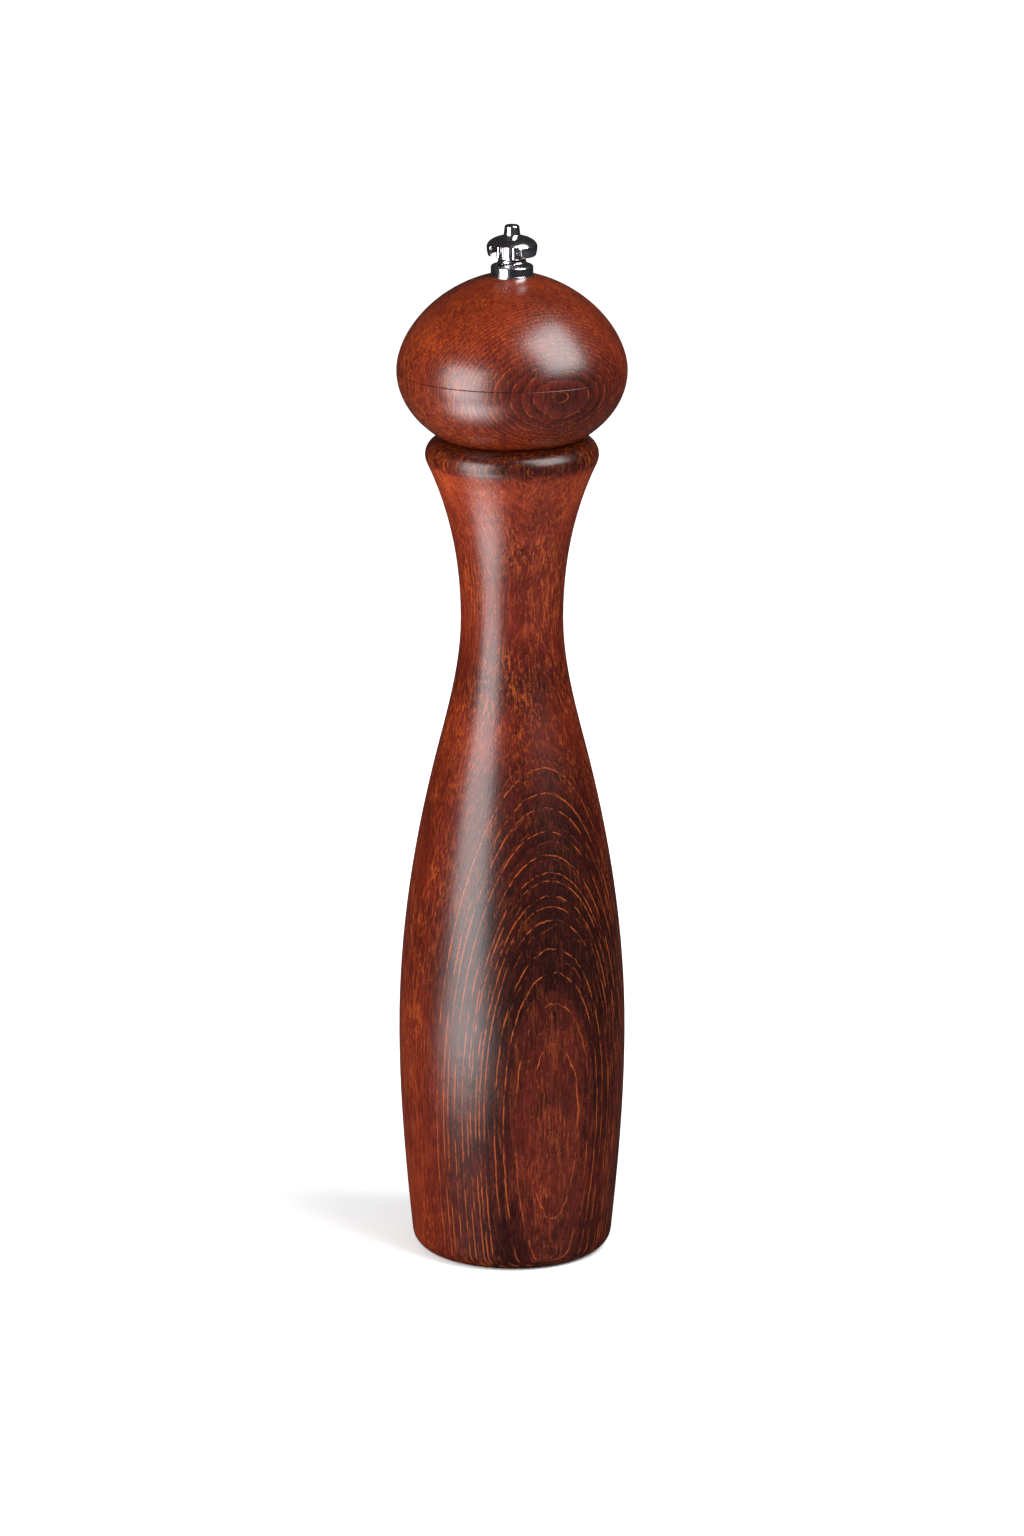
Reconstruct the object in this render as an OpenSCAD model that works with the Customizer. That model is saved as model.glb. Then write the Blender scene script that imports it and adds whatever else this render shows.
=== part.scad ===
// Pepper mill with a turned wooden body, an onion-shaped head and a metal adjusting knob.
// The head turns the square shaft, which turns a steel rotor inside a fixed stator.
// The knob screws down the shaft's thread and sets how high the rotor sits in the stator.
// The frame's origin is the centre of the foot, on the table, and +Z is up. Sizes are in millimetres.

/* [Body] */
// Height of the body, from the table to the face that the head turns on
body_h = 239.5; // [199:0.5:290]
// Radius where the foot's rounding ends
foot_r = 28.9; // [27:0.1:35]
// Rounding of the foot's edge
foot_round = 5; // [2:0.5:6]
// Widest radius of the body
belly_r = 32.6; // [29:0.1:40]
// Height of the belly above the table
belly_z = 65; // [54:1:78]
// Narrowest radius of the body
neck_r = 14.6; // [13.4:0.1:18]
// How far the neck is below the body's top face
neck_drop = 52.5; // [43:0.5:63]
// Widest radius of the collar at the top
collar_r = 24.6; // [23:0.1:30]
// Radius of the collar's rounded bead
bead_r = 5; // [3:0.25:6]

/* [Bores] */
// Radius of the pepper chamber
chamber_r = 13.5; // [11.2:0.1:14.5]
// Radius of the bore through the neck
throat_r = 10; // [8:0.1:10.8]
// Radius of the socket that the head's tenon turns in
socket_r = 14; // [13.2:0.1:17]
// Depth of that socket
socket_depth = 16; // [13:0.5:20]
// Radius of the recess under the foot
recess_r = 20.5; // [19.5:0.1:21.5]
// Depth of that recess
recess_depth = 10; // [8.6:0.1:12]

/* [Head] */
// Widest radius of the head
head_r = 32.6; // [27:0.1:40]
// Height of the glued seam, at the widest place, above the head's lower face
seam_rise = 19.2; // [16:0.1:24]
// Height of the crown, from the seam to the seat of the ferrule
crown_h = 26.8; // [22:0.1:33]
// Fullness of the crown: 2 is an ellipse, and less is more pointed
crown_power = 1.78; // [1.5:0.01:2.2]
// Length of the tenon
tenon_h = 15; // [12:0.5:19]
// Radius of the hole for the shaft
shaft_hole_r = 4.6; // [4.5:0.1:5.6]

/* [Shaft] */
// Width across the flats of the square shaft
shaft_w = 6; // [5:0.1:6.2]
// Radius of the thread at the top, M5
thread_r = 2.5; // [2:0.1:2.6]
// Pitch of that thread
thread_pitch = 0.8; // [0.5:0.05:1]
// Length of the threaded end
thread_len = 26; // [21:0.5:32]
// Radius of the round journal at the bottom
journal_r = 2.4; // [2:0.05:2.4]

/* [Grinder] */
// Radius of the housing's barrel
barrel_r = 15; // [14.6:0.1:15.4]
// Length of that barrel
barrel_h = 17; // [15:0.5:21]
// Outer radius of the stator
stator_r = 13; // [12.4:0.1:13.4]
// Height of the stator
stator_h = 10; // [9:0.5:11]
// Largest radius of the rotor, at its lower edge
rotor_r = 10.6; // [9.6:0.1:10.9]
// Gap between the burrs at the finest setting
burr_gap = 0.3; // [0.2:0.05:0.6]
// Width of the retaining bar
bar_w = 9; // [8:0.1:12]
// Thickness of the retaining bar
bar_t = 2; // [1.5:0.1:2.4]
// Mean radius of the spring's coils
coil_r = 4.3; // [4.2:0.05:4.6]
// Radius of the spring's wire
wire_r = 0.4; // [0.3:0.05:0.5]

/* [Knob] */
// Radius of the ferrule's flange on the head
ferrule_r = 6.35; // [5.9:0.05:7.6]
// Height of the ferrule
ferrule_h = 4.5; // [4:0.1:5.6]
// Widest radius of the knob's cap
cap_r = 7.15; // [6.6:0.05:8.6]
// Height of the cap's dome above its widest place
dome_h = 3.28; // [2.8:0.02:4]
// How far the two lobes hang below the widest place
lobe_drop = 2.6; // [2:0.1:2.8]
// Width of the openings between the lobes
lobe_gap = 9.6; // [8:0.1:10.4]
// Thickness of the cap's shell
cap_wall = 0.75; // [0.5:0.05:0.9]
// Radius of the fluted hub under the cap
hub_r = 4.4; // [4:0.05:5]
// Radius of the post on the cap, at its foot
post_r = 2.35; // [2:0.05:2.8]
// Height of the post's top above the dome
post_h = 3.0; // [2.4:0.1:3.8]

/* [Hidden] */
$fn = 96;

// Clearances
fixed_gap = 0.05;    // round a piece that is pressed or glued in
running_gap = 0.08;  // round a piece that turns in its bearing
wood_gap = 0.25;     // round the tenon in its socket
lift_gap = 0.1;      // between faces that turn on each other
cut = 1;             // how far a cutter runs past the face it opens

// Screws, each [shank radius, length, head radius, head height]
bar_screw = [1.5, 15, 2.6, 1.3];
housing_screw = [1.3, 12, 2.3, 1.1];
plate_screw = [1.2, 10, 2.2, 1.0];

// Heights of the body's outline
foot_slope = 6;                                  // lean of the side above the foot, in degrees
bead_slope = 25;                                 // lean of the side below the bead, in degrees
flank_share = 0.7;                               // where the side is steepest, from belly to neck
flank_fall = 0.65;                               // share of the whole fall that is above that place
flank_steepness = 1.76;                          // slope there, in whole falls from belly to neck
neck_z = body_h - neck_drop;
flank_z = belly_z + flank_share * (neck_z - belly_z);
flank_r = belly_r - flank_fall * (belly_r - neck_r);
flank_slope = -flank_steepness * (belly_r - neck_r) / (neck_z - belly_z);

// Heights in the head
head_z = body_h + lift_gap;
seam_z = head_z + seam_rise;
seat_z = seam_z + crown_h;
tenon_z = head_z - tenon_h;
tenon_r = socket_r - wood_gap;
head_foot_r = collar_r - bead_r + 0.4;           // the head's foot reaches just past the bead's top
seat_r = ferrule_r + 0.8;                        // flat place that the ferrule stands on
seam_groove = 0.15;                              // size of the bevels that meet in the glued seam
plate_r = 11.5;
plate_t = 1.5;
plate_screw_ring_r = 8;

// Heights in the grinder, from the bottom up
flange_t = 1.6;
flange_r = recess_r - 0.5;
flange_z = recess_depth - flange_t;
bar_z = flange_z - bar_t;
seat_t = 0.6;
spring_z = flange_z + seat_t;
spring_h = 8.7;
clip_t = 0.6;
rotor_washer_t = 0.8;
rotor_top_z = spring_z + spring_h;               // underside of the washer that the spring lifts
shoulder_z = rotor_top_z + rotor_washer_t;       // where the square shaft stands on that washer
stator_z = recess_depth + 2;
rotor_z = stator_z - 0.5;
rotor_h = 12;
waist_z = stator_z + 3.5;                        // narrowest place of the stator
waist_step = 0.9;                                // how much the burrs narrow from their lower edge to there
snap_t = 0.8;
snap_groove = 0.7;                               // how deep the snap ring sits in the housing
lip_r = stator_r - 1.6;                          // lip of the housing that the stator is pushed up to
pocket_r = 5.6;                                  // hollow of the rotor, for the spring
washer_r = pocket_r - 0.4;
clip_groove_r = journal_r - 0.5;
barrel_top_z = recess_depth + barrel_h;
screw_ring_r = (barrel_r + recess_r) / 2;        // the housing's screws stand midway on its ledge

// Outlines of the burrs, from the bottom up: the lower stretch grinds and the upper one cracks the corns
stator_low = [rotor_r + burr_gap, stator_z];
stator_waist = [rotor_r + burr_gap - waist_step, waist_z];
stator_mouth = [stator_r - 1.8, stator_z + stator_h];
rotor_low = [rotor_r, stator_z];
rotor_waist = [rotor_r - waist_step, waist_z];
rotor_crown = [5.4, rotor_z + rotor_h];

// Radii of the ferrule
ferrule_wall = 0.6;
ferrule_shoulder = 0.7;                          // rounding of the shoulder
ferrule_waist = 1.35;                            // radius of the hollow curve above the shoulder
ferrule_side_r = ferrule_r - 0.35;
ferrule_neck_r = ferrule_side_r - ferrule_shoulder - ferrule_waist;
bush_h = 8;                                      // length of the bush below the seat
bush_rim_t = 0.8;

// Heights in the knob
ferrule_top_z = seat_z + ferrule_h;
knob_z = ferrule_top_z + lift_gap;
hub_h = 4.7;
hub_top_z = knob_z + hub_h;
cap_z = hub_top_z - 1;                           // the cap's widest place
dome_top_z = cap_z + dome_h * sqrt(1 - pow(post_r / cap_r, 2));
thread_top_z = hub_top_z - 0.2;
thread_z = thread_top_z - thread_len;
lobe_turn = -20;                                 // where the first lobe stands, in degrees from +X
knob_spigot_r = 2.9;                             // spigot of the hub that the cap is pressed on
knob_spigot_h = 1.6;

// Looks of the materials
wood = "#7a3018";
wood_light = "#96451f";
chrome = "#c9ccd1";
steel = "#9a9da2";
alloy = "#b4b7bb";
nylon = "#2b2b2d";
brass = "#b99a55";

// Points between two places of an outline, each [radius, height], with a slope at either end.
function blend(from, slope_from, to, slope_to, steps) = [
    for (i = [1:steps])
        let (t = i / steps, rise = to[1] - from[1])
        [
            (2 * pow(t, 3) - 3 * pow(t, 2) + 1) * from[0] + (3 * pow(t, 2) - 2 * pow(t, 3)) * to[0]
                + (pow(t, 3) - 2 * pow(t, 2) + t) * rise * slope_from
                + (pow(t, 3) - pow(t, 2)) * rise * slope_to,
            from[1] + t * rise
        ]
];

// Points of an arc about [radius, height], from one angle to another.
function arc(centre, radius, from, to, steps) = [
    for (i = [0:steps])
        let (a = from + (to - from) * i / steps)
        centre + radius * [cos(a), sin(a)]
];

// Points of a quarter of a superellipse, from its widest place to where it is end_h high.
function crown_curve(widest, height, power, base_z, end_h, steps) =
    let (last = asin(pow(end_h / height, power / 2)))
    [
        for (i = [0:steps])
            let (a = last * i / steps)
            [widest * pow(cos(a), 2 / power), base_z + height * pow(sin(a), 2 / power)]
    ];

// The place at height z on the straight line through two [radius, height] places.
function on_line(low, high, z) = low + (high - low) * (z - low[1]) / (high[1] - low[1]);

module turned(points) {
    rotate_extrude() polygon(points);
}

module tube(outer, inner, from, to) {
    difference() {
        translate([0, 0, from]) cylinder(r = outer, h = to - from);
        translate([0, 0, from - cut]) cylinder(r = inner, h = to - from + 2 * cut);
    }
}

module bore(radius, from, to) {
    translate([0, 0, from]) cylinder(r = radius, h = to - from);
}

module square_bore(width, from, to) {
    translate([-width / 2, -width / 2, from]) cube([width, width, to - from]);
}

// Copies of a piece on a circle about the axis
module around(count, radius, first = 0) {
    for (i = [0:count - 1]) rotate([0, 0, first + i * 360 / count]) translate([radius, 0, 0]) children();
}

// A wood screw that points up, with its head's face at z = 0 and a cross recess in it
module wood_screw(shank_r, length, head_r, head_h) {
    difference() {
        union() {
            cylinder(r1 = head_r, r2 = shank_r, h = head_h);
            cylinder(r = shank_r, h = length - 2 * shank_r);
            translate([0, 0, length - 2 * shank_r]) cylinder(r1 = shank_r, r2 = 0.2, h = 2 * shank_r);
        }
        for (turn = [0, 90])
            rotate([0, 0, turn]) translate([-0.65 * head_r, -0.15 * head_r, -cut])
                cube([1.3 * head_r, 0.3 * head_r, cut + 0.5 * head_h]);
    }
}

// The hole that a wood screw fills, from its head's face upwards
module screw_hole(shank_r, length) {
    translate([0, 0, -cut]) cylinder(r = shank_r + fixed_gap, h = length + cut + 0.5);
}

module screw_sink(shank_r, head_r, head_h) {
    translate([0, 0, -fixed_gap]) cylinder(r1 = head_r + fixed_gap, r2 = shank_r, h = head_h + fixed_gap);
}

/* Wood */

function body_outline() =
    let (
        foot = arc([foot_r - foot_round, foot_round], foot_round, -90, -foot_slope, 6),
        bead_centre = [collar_r - bead_r, body_h - bead_r],
        bead = arc(bead_centre, bead_r, -bead_slope, 90, 10),
        belly = [belly_r, belly_z],
        flank = [flank_r, flank_z],
        neck = [neck_r, neck_z]
    )
    concat(
        foot,
        blend(foot[6], tan(foot_slope), belly, 0, 10),
        blend(belly, 0, flank, flank_slope, 16),
        blend(flank, flank_slope, neck, 0, 10),
        blend(neck, 0, bead[0], tan(bead_slope), 12),
        [for (i = [1:10]) bead[i]]
    );

module body() {
    color(wood) difference() {
        turned(concat([[0, 0]], body_outline(), [[0, body_h]]));
        bore(recess_r, -cut, recess_depth);
        bore(barrel_r + fixed_gap, recess_depth - cut, barrel_top_z + fixed_gap);
        bore(chamber_r, barrel_top_z - cut, flank_z);
        translate([0, 0, flank_z]) cylinder(r1 = chamber_r, r2 = throat_r, h = chamber_r - throat_r);
        bore(throat_r, flank_z, body_h);
        bore(socket_r, body_h - socket_depth, body_h + cut);
        around(2, screw_ring_r) translate([0, 0, bar_z]) screw_hole(bar_screw[0], bar_screw[1]);
        around(2, screw_ring_r, 90) translate([0, 0, flange_z]) screw_hole(housing_screw[0], housing_screw[1]);
    }
}

module head_base() {
    low_h = (seam_rise - seam_groove) / sqrt(1 - pow(head_foot_r / head_r, 2));
    foot_angle = acos(head_foot_r / head_r);
    lower_curve = [
        for (i = [0:14])
            let (a = -foot_angle + foot_angle * i / 14)
            [head_r * cos(a), seam_z - seam_groove + low_h * sin(a)]
    ];
    seam_edge = [[head_r - seam_groove, seam_z], [0, seam_z]];
    color(wood_light) difference() {
        turned(concat([[0, tenon_z], [tenon_r, tenon_z], [tenon_r, head_z]], lower_curve, seam_edge));
        bore(shaft_hole_r, tenon_z - cut, seam_z + cut);
        bore(plate_r + fixed_gap, tenon_z - cut, tenon_z + plate_t);
        around(3, plate_screw_ring_r) translate([0, 0, tenon_z]) screw_hole(plate_screw[0], plate_screw[1]);
    }
}

module head_crown() {
    low_z = seam_z + seam_groove;
    rise = crown_h - seam_groove;
    height = rise / pow(1 - pow(seat_r / head_r, crown_power), 1 / crown_power);
    seam_edge = [[0, seam_z], [head_r - seam_groove, seam_z]];
    color(wood_light) difference() {
        turned(concat(seam_edge, crown_curve(head_r, height, crown_power, low_z, rise, 24), [[0, seat_z]]));
        bore(shaft_hole_r, seam_z - cut, seat_z + cut);
    }
}

/* Grinder, fixed in the body */

module grinder_housing() {
    lip_z = stator_z + stator_h + fixed_gap;
    lip_t = 0.8;
    mouth_r = barrel_r - 0.8;
    color(nylon) difference() {
        union() {
            bore(barrel_r, flange_z, barrel_top_z);
            bore(flange_r, flange_z, recess_depth);
        }
        bore(stator_r + fixed_gap, flange_z - cut, lip_z);
        bore(lip_r, flange_z, barrel_top_z);
        translate([0, 0, lip_z + lip_t]) cylinder(r1 = lip_r, r2 = mouth_r, h = barrel_top_z - lip_z - lip_t);
        tube(stator_r + snap_groove + fixed_gap, stator_r - cut, stator_z - snap_t - fixed_gap, stator_z);
        around(2, screw_ring_r) translate([0, 0, bar_z]) screw_hole(bar_screw[0], bar_screw[1]);
        around(2, screw_ring_r, 90) translate([0, 0, flange_z]) {
            screw_hole(housing_screw[0], housing_screw[1]);
            screw_sink(housing_screw[0], housing_screw[2], housing_screw[3]);
        }
    }
}

// Square bars on edge that lie along a cone between two outline places and slant round it
module flutes(count, low, high, width, slant) {
    overrun = 1.2;
    lean = atan((low[0] - high[0]) / (high[1] - low[1]));
    length = norm(high - low) / cos(slant) + overrun;
    around(count, (low[0] + high[0]) / 2)
        translate([0, 0, (low[1] + high[1]) / 2]) rotate([slant, -lean, 0]) rotate([0, 0, 45])
            cube([width, width, length], center = true);
}

module stator() {
    color(steel) difference() {
        turned([[0, stator_z], [stator_r, stator_z], [stator_r, stator_mouth[1]], [0, stator_mouth[1]]]);
        turned([
            [0, stator_z - cut], on_line(stator_low, stator_waist, stator_z - cut), stator_waist,
            on_line(stator_waist, stator_mouth, stator_mouth[1] + cut), [0, stator_mouth[1] + cut]
        ]);
        flutes(30, stator_low, stator_waist, 0.7, 18);
        flutes(10, stator_waist, stator_mouth, 1.5, 24);
    }
}

module stator_snap_ring() {
    opening = 40;
    inside = 1.2;
    color(steel) rotate([0, 0, opening / 2]) rotate_extrude(angle = 360 - opening)
        translate([stator_r - inside, stator_z - snap_t]) square([inside + snap_groove, snap_t - fixed_gap]);
}

module retaining_bar() {
    edge_gap = 0.4;
    half_length = sqrt(pow(recess_r - edge_gap, 2) - pow(bar_w / 2, 2));
    color(steel) difference() {
        translate([0, 0, bar_z]) {
            translate([-screw_ring_r, -bar_w / 2, 0]) cube([2 * screw_ring_r, bar_w, bar_t]);
            around(2, screw_ring_r) intersection() {
                cylinder(r = bar_w / 2, h = bar_t);
                translate([-bar_w, -bar_w, 0]) cube([bar_w + half_length - screw_ring_r, 2 * bar_w, bar_t]);
            }
        }
        bore(journal_r + running_gap, bar_z - cut, flange_z + cut);
        around(2, screw_ring_r) translate([0, 0, bar_z]) {
            screw_hole(bar_screw[0], bar_screw[1]);
            screw_sink(bar_screw[0], bar_screw[2], bar_screw[3]);
        }
    }
}

module bar_screws() {
    color(steel) around(2, screw_ring_r) translate([0, 0, bar_z])
        wood_screw(bar_screw[0], bar_screw[1], bar_screw[2], bar_screw[3]);
}

module housing_screws() {
    color(steel) around(2, screw_ring_r, 90) translate([0, 0, flange_z])
        wood_screw(housing_screw[0], housing_screw[1], housing_screw[2], housing_screw[3]);
}

/* Spindle, turned by the head */

module spring_seat() {
    color(steel) tube(washer_r, journal_r + running_gap, flange_z, flange_z + seat_t);
}

// A helical coil of round wire, from base_z to base_z + height over its outsides
module coil(mean_r, wire, base_z, height, turns, sides, steps) {
    centre = [for (i = [0:steps]) let (a = 360 * turns * i / steps)
        [mean_r * cos(a), mean_r * sin(a), base_z + wire + (height - 2 * wire) * i / steps]];
    points = [for (i = [0:steps], k = [0:sides - 1])
        let (a = 360 * turns * i / steps, b = 360 * k / sides)
        centre[i] + wire * [cos(b) * cos(a), cos(b) * sin(a), sin(b)]];
    sheath = [for (i = [0:steps - 1], k = [0:sides - 1])
        let (j = i * sides + k, n = i * sides + (k + 1) % sides)
        each [[j, n, n + sides], [j, n + sides, j + sides]]];
    ends = [[for (k = [sides - 1:-1:0]) k], [for (k = [0:sides - 1]) steps * sides + k]];
    polyhedron(points = points, faces = concat(sheath, ends));
}

module spring() {
    color(steel) coil(coil_r, wire_r, spring_z, spring_h, 5.5, 8, 88);
}

module rotor() {
    color(steel) difference() {
        turned([
            [0, rotor_z], [rotor_low[0] - 0.3, rotor_z], rotor_low, rotor_waist,
            rotor_crown, [0, rotor_crown[1]]
        ]);
        bore(pocket_r, rotor_z - cut, shoulder_z);
        square_bore(shaft_w + 2 * running_gap, shoulder_z - cut, rotor_crown[1] + cut);
        flutes(30, rotor_low, rotor_waist, 0.7, -18);
        flutes(8, rotor_waist, rotor_crown, 1.7, -24);
    }
}

module rotor_washer() {
    color(steel) tube(washer_r, journal_r + fixed_gap, rotor_top_z, shoulder_z);
}

module rotor_clip() {
    clip_r = coil_r - wire_r - 0.3;
    color(steel) difference() {
        tube(clip_r, clip_groove_r + fixed_gap, rotor_top_z - clip_t, rotor_top_z);
        translate([0, -clip_groove_r + 0.2, rotor_top_z - clip_t - cut])
            cube([clip_r + cut, 2 * clip_groove_r - 0.4, clip_t + 2 * cut]);
    }
}

module drive_shaft() {
    tip = 0.6;
    journal_end_z = bar_z - 1.2;
    root_r = thread_r - 0.55 * thread_pitch;
    rings = floor((thread_len - 3) / thread_pitch);
    first_ring_z = thread_top_z - tip - rings * thread_pitch;
    color(alloy) {
        difference() {
            turned([
                [0, journal_end_z], [journal_r - tip, journal_end_z], [journal_r, journal_end_z + tip],
                [journal_r, shoulder_z], [0, shoulder_z]
            ]);
            tube(journal_r + cut, clip_groove_r, rotor_top_z - clip_t - fixed_gap, rotor_top_z);
        }
        intersection() {
            translate([-shaft_w / 2, -shaft_w / 2, shoulder_z]) cube([shaft_w, shaft_w, thread_z - shoulder_z]);
            turned([
                [0, shoulder_z], [0.75 * shaft_w, shoulder_z], [0.75 * shaft_w, thread_z - shaft_w / 4],
                [shaft_w / 2, thread_z], [0, thread_z]
            ]);
        }
        turned(concat(
            [[0, thread_z - fixed_gap], [root_r, thread_z - fixed_gap], [root_r, first_ring_z]],
            [for (i = [0:rings - 1], step = [0.25, 0.45, 0.95])
                [step == 0.95 ? root_r : thread_r, first_ring_z + (i + step) * thread_pitch]],
            [[root_r, thread_top_z], [0, thread_top_z]]
        ));
    }
}

/* Head fittings */

module drive_plate() {
    color(steel) difference() {
        bore(plate_r, tenon_z, tenon_z + plate_t);
        square_bore(shaft_w + 4 * running_gap, tenon_z - cut, tenon_z + plate_t + cut);
        around(3, plate_screw_ring_r) translate([0, 0, tenon_z]) {
            screw_hole(plate_screw[0], plate_screw[1]);
            screw_sink(plate_screw[0], plate_screw[2], plate_screw[3]);
        }
    }
}

module plate_screws() {
    color(steel) around(3, plate_screw_ring_r) translate([0, 0, tenon_z])
        wood_screw(plate_screw[0], plate_screw[1], plate_screw[2], plate_screw[3]);
}

module head_bush() {
    foot_z = seat_z - bush_h;
    rim_z = seat_z + bush_rim_t;
    barrel = shaft_hole_r - fixed_gap;
    spigot = ferrule_neck_r - ferrule_wall - fixed_gap;
    rim = ferrule_side_r - ferrule_wall - fixed_gap;
    color(brass) difference() {
        turned([
            [0, foot_z], [barrel, foot_z], [barrel, seat_z], [rim, seat_z], [rim, rim_z],
            [spigot, rim_z], [spigot, ferrule_top_z], [0, ferrule_top_z]
        ]);
        bore(thread_r + 2 * running_gap, foot_z - cut, ferrule_top_z + cut);
    }
}

module ferrule() {
    shoulder_top = ferrule_top_z - ferrule_waist;
    ceiling = shoulder_top - ferrule_wall;
    curve_r = ferrule_side_r - ferrule_shoulder;     // where the shoulder and the hollow curve meet
    hollow = arc([curve_r, ferrule_top_z], ferrule_waist, 270, 180, 8);
    color(chrome) turned(concat(
        [
            [ferrule_side_r - ferrule_wall, seat_z], [ferrule_r, seat_z], [ferrule_r, seat_z + 0.3],
            [ferrule_side_r, seat_z + 0.5]
        ],
        arc([curve_r, shoulder_top - ferrule_shoulder], ferrule_shoulder, 0, 90, 6),
        [for (i = [1:8]) hollow[i]],
        [
            [ferrule_neck_r - ferrule_wall, ferrule_top_z], [ferrule_neck_r - ferrule_wall, ceiling],
            [ferrule_side_r - ferrule_wall, ceiling]
        ]
    ));
}

/* Knob */

module knob_hub() {
    flutes = 12;
    flute_r = 0.6;
    flute_depth = 0.25;
    foot = 0.9;
    foot_z = knob_z + 0.3;
    spigot_z = hub_top_z + knob_spigot_h;
    color(chrome) difference() {
        turned(concat(
            [[0, knob_z], [hub_r - foot, knob_z]],
            arc([hub_r - foot, foot_z + foot], foot, -90, 0, 6),
            [[hub_r, hub_top_z], [knob_spigot_r, hub_top_z], [knob_spigot_r, spigot_z], [0, spigot_z]]
        ));
        bore(thread_r + running_gap, knob_z - cut, hub_top_z);
        around(flutes, hub_r + flute_r - flute_depth) bore(flute_r, knob_z + 0.5, hub_top_z - 0.4);
    }
}

// One opening between two lobes, as a prism along +X whose upper corners and lower flares are round
module lobe_opening() {
    corner = 1.2;
    flare = 1.1;
    top_z = cap_z + 0.55;
    low_z = cap_z - lobe_drop;
    rotate([90, 0, 90]) linear_extrude(height = cap_r + cut) {
        translate([-lobe_gap / 2, low_z - cut]) square([lobe_gap, top_z - corner - low_z + cut]);
        translate([corner - lobe_gap / 2, low_z - cut]) square([lobe_gap - 2 * corner, top_z - low_z + cut]);
        for (side = [-1, 1]) {
            translate([side * (lobe_gap / 2 - corner), top_z - corner]) circle(r = corner);
            difference() {
                translate([side * lobe_gap / 2 - flare, low_z - cut]) square([2 * flare, cut + flare]);
                translate([side * (lobe_gap / 2 + flare), low_z + flare]) circle(r = flare);
            }
        }
    }
}

module knob_cap() {
    tuck = 0.45;         // how far the lobes' tips lean in
    tip_round = 0.6;
    fillet = 0.5;
    steps = 8;
    post_top_z = dome_top_z + post_h;
    post_top_r = post_r - 0.25;
    socket_z = hub_top_z + knob_spigot_h + fixed_gap;
    inner_h = dome_h - cap_wall;
    boss_angle = acos(hub_r / (cap_r - cap_wall));
    dome_angle = acos((post_r + fillet) / cap_r);
    skirt = [for (i = [steps:-1:1]) let (t = i / steps) [cap_r - tuck * t * t, cap_z - lobe_drop * t]];
    dome = [for (i = [0:12]) let (a = dome_angle * i / 12) [cap_r * cos(a), cap_z + dome_h * sin(a)]];
    post = concat(
        [[post_r, dome_top_z + fillet]],
        arc([post_top_r - tip_round, post_top_z - tip_round], tip_round, 0, 90, 5),
        [[0, post_top_z]]
    );
    inner_dome = [for (i = [0:8]) let (a = boss_angle * (1 - i / 8))
        [(cap_r - cap_wall) * cos(a), cap_z + inner_h * sin(a)]];
    color(chrome) difference() {
        turned(concat(
            skirt, dome, post,
            [[0, socket_z], [knob_spigot_r + fixed_gap, socket_z], [knob_spigot_r + fixed_gap, hub_top_z]],
            [[hub_r, hub_top_z]],
            inner_dome,
            [[cap_r - cap_wall - tuck, cap_z - lobe_drop]]
        ));
        for (side = [90, 270]) rotate([0, 0, lobe_turn + side]) lobe_opening();
    }
}

body();
grinder_housing();
stator();
stator_snap_ring();
retaining_bar();
bar_screws();
housing_screws();
spring_seat();
spring();
rotor();
rotor_washer();
rotor_clip();
drive_shaft();
head_base();
head_crown();
drive_plate();
plate_screws();
head_bush();
ferrule();
knob_hub();
knob_cap();
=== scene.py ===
"""Looks of the pepper mill: turned and stained wood, bright plated metal, and the steel grinder inside."""
import math

import bpy
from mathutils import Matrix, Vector


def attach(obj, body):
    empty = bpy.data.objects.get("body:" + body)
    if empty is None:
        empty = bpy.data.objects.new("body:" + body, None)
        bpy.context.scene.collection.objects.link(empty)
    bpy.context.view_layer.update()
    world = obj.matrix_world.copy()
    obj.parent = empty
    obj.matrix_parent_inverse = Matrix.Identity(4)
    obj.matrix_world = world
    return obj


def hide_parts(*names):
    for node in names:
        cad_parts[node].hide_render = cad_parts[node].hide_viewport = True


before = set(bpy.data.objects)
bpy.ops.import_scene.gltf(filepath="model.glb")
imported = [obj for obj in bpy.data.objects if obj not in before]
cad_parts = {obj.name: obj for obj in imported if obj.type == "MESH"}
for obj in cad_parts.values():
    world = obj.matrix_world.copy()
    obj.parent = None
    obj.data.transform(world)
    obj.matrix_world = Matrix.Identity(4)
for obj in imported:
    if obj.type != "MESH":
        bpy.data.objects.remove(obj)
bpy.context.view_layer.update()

MM = 0.001                       # in metres; the knob's outlines and the shaders are in millimetres
SEGMENTS = 192                   # faces round a turned piece
CORNER = 24.0                    # degrees; an outline that turns less than this is meant as a curve


# ---------------------------------------------------------------- outlines of turned pieces

RING_POINTS = 24                 # a ring of the CAD mesh has at least this many points
LEAST_FACING = 0.1               # a face that looks outwards or inwards less than this is level, not wall


def wall_rings(node, outer):
    """The CAD node's wall as (radius, height) in metres, from its lowest ring up."""
    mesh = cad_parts[node].data
    found = {}
    for face in mesh.polygons:
        centre = Vector((face.center.x, face.center.y, 0)).normalized()
        facing = face.normal.dot(centre)
        if (facing > LEAST_FACING) != outer or abs(facing) < LEAST_FACING:
            continue
        for index in face.vertices:
            point = mesh.vertices[index].co
            key = (round(math.hypot(point.x, point.y), 5), round(point.z, 5))
            found.setdefault(key, set()).add(round(math.atan2(point.y, point.x), 2))
    whole = [key for key, angles in found.items() if len(angles) >= RING_POINTS]
    heights = sorted({z for _, z in whole})
    path = []
    for z in heights:
        radii = sorted(r for r, height in whole if height == z)
        if path and abs(radii[-1] - path[-1][0]) < abs(radii[0] - path[-1][0]):
            radii.reverse()
        path += [(r, z) for r in radii]
    return path


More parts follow.
